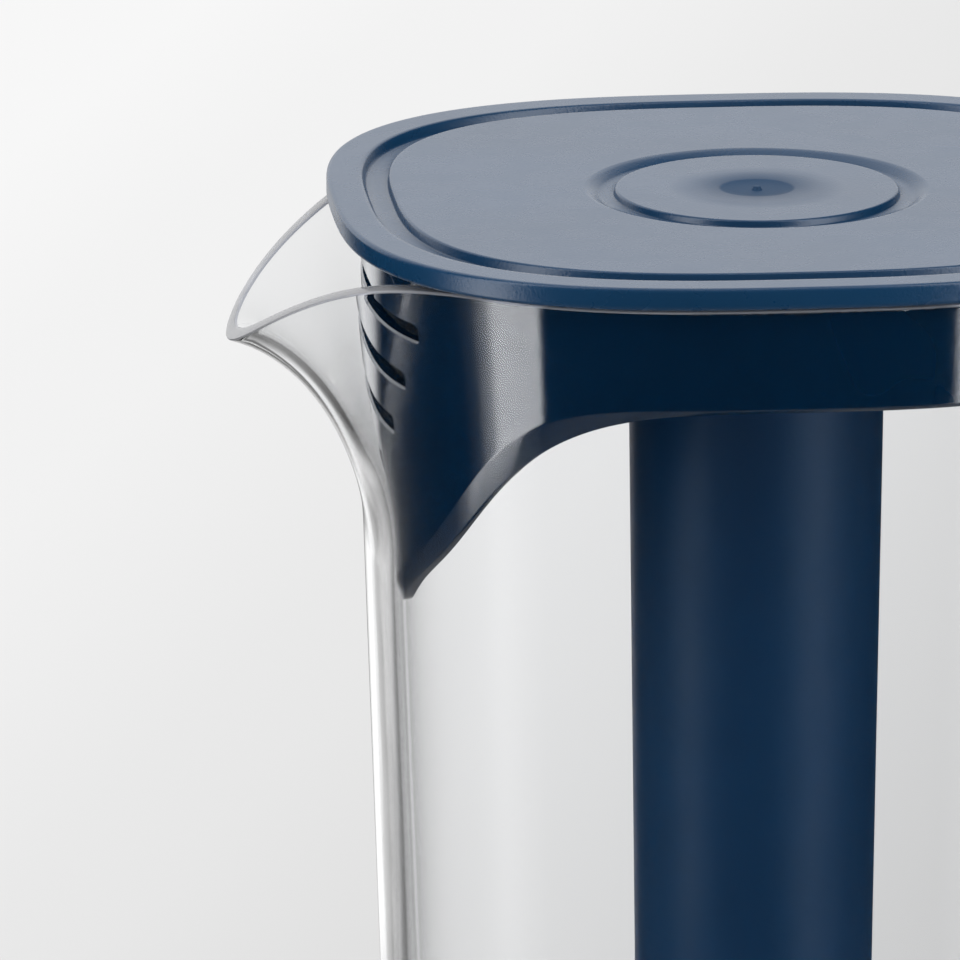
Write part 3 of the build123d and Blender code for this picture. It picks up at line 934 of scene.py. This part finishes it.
foot_z = CORE_BOTTOM + CORE_ROUND
foot_radius = core_radius(foot_z) - CORE_ROUND / math.cos(math.atan(CORE_TAPER))
inner_round = CORE_ROUND - CORE_WALL
mouth_z = core_top - MOUTH_ROUND
outer_mouth = core_radius(core_top) - MOUTH_ROUND
inner_mouth = core_radius(core_top) - CORE_WALL + MOUTH_ROUND
heights = np.linspace(CORE_STRAIGHT, mouth_z - MOUTH_ROUND, 12)
core_profile = [(foot_radius * share, CORE_BOTTOM) for share in (0.1, 0.5)]
core_profile += quarter_arc(foot_radius, foot_z, CORE_ROUND, -90, -0.75, 13)
core_profile += [(core_radius(z), z) for z in heights]
core_profile += quarter_arc(outer_mouth, mouth_z, MOUTH_ROUND, 0, 90, 5)
core_profile += quarter_arc(inner_mouth, mouth_z, MOUTH_ROUND, 90, 180, 5)
core_profile += [(core_radius(z) - CORE_WALL, z) for z in heights[::-1]]
core_profile += quarter_arc(foot_radius, foot_z, inner_round, -0.75, -90, 13)
core_profile += [(foot_radius * share, foot_z - inner_round) for share in (0.5, 0.1)]
lugs = [
    thread_block(
        CORE_TOP_RADIUS - CORE_WALL / 2,
        CORE_TOP_RADIUS + LUG_WIDTH,
        THREAD_ZERO,
        LUG_START,
        LUG_SPAN,
        360 / THREAD_STARTS * i,
    )
    for i in range(THREAD_STARTS)
]
core = add_piece("core", [revolved(core_profile), *lugs], sharp=50)
core_blue = blue_plastic(
    "satin blue plastic",
    colour=(0.0025, 0.034, 0.095),
    roughness=(0.40, 0.48),
    grain=1500.0,
    grain_height=0.00002,
    specular=0.18,
)
core.data.materials.append(core_blue)
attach(core, "core")
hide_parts("core_tube")


# Seal: a soft pale silicone ring that lies on the tube's open end and plugs a little way into it.
PLUG_GAP = 0.00015
PLUG_WALL = 0.0018
PLUG_DEPTH = 0.0040
SEAL_ROUND = 0.0004
SEAL_FILM = 0.00004
plug_radius = CORE_TOP_RADIUS - CORE_WALL - PLUG_GAP
bore_centre = plug_radius - PLUG_WALL + SEAL_ROUND
plug_centre = plug_radius - SEAL_ROUND
rim_centre = CORE_TOP_RADIUS - SEAL_ROUND
plug_low = core_top - PLUG_DEPTH + SEAL_ROUND
rim_low = core_top + SEAL_FILM + SEAL_ROUND
rim_high = LID_UNDER - SEAL_ROUND
seal_profile = quarter_arc(bore_centre, plug_low, SEAL_ROUND, 180, 270, 5)
seal_profile += quarter_arc(plug_centre, plug_low, SEAL_ROUND, 270, 360, 5)
seal_profile += [(plug_radius, core_top + SEAL_FILM)]
seal_profile += quarter_arc(rim_centre, rim_low, SEAL_ROUND, 270, 360, 5)
seal_profile += quarter_arc(rim_centre, rim_high, SEAL_ROUND, 0, 90, 5)
seal_profile += quarter_arc(bore_centre, rim_high, SEAL_ROUND, 90, 180, 5)
seal = add_piece("seal", [revolved(seal_profile)], closed=True, sharp=50)


def silicone_rubber():
    """Pale soft rubber: milky, lit a little from within, with a powdery skin as fine noise in the
    roughness and the bump."""
    material = bpy.data.materials.new("pale silicone")
    material.use_nodes = True
    add = new_tree(material.node_tree)
    place = add("ShaderNodeTexCoord").outputs["Object"]
    cloud = add("ShaderNodeTexNoise", [("Vector", place)], Scale=220.0, Detail=3.0)
    milk = add("ShaderNodeValToRGB", [(0, cloud.outputs["Fac"])])
    milk.color_ramp.elements[0].color = (0.58, 0.60, 0.61, 1.0)
    milk.color_ramp.elements[1].color = (0.72, 0.74, 0.75, 1.0)
    rough = add("ShaderNodeMapRange", [(0, cloud.outputs["Fac"])], To_Min=0.45, To_Max=0.62)
    powder = add("ShaderNodeTexNoise", [("Vector", place)], Scale=2400.0, Detail=2.0)
    bump = add(
        "ShaderNodeBump", [("Height", powder.outputs["Fac"])], Strength=0.6, Distance=0.00003
    )
    shader = add(
        "ShaderNodeBsdfPrincipled",
        [
            ("Base Color", milk.outputs[0]),
            ("Roughness", rough.outputs[0]),
            ("Normal", bump.outputs[0]),
        ],
        IOR=1.41,
        Subsurface_Weight=0.35,
        Subsurface_Scale=0.002,
    )
    add("ShaderNodeOutputMaterial", [(0, shader.outputs[0])])
    return material


seal.data.materials.append(silicone_rubber())
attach(seal, "seal")
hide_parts("core_seal")
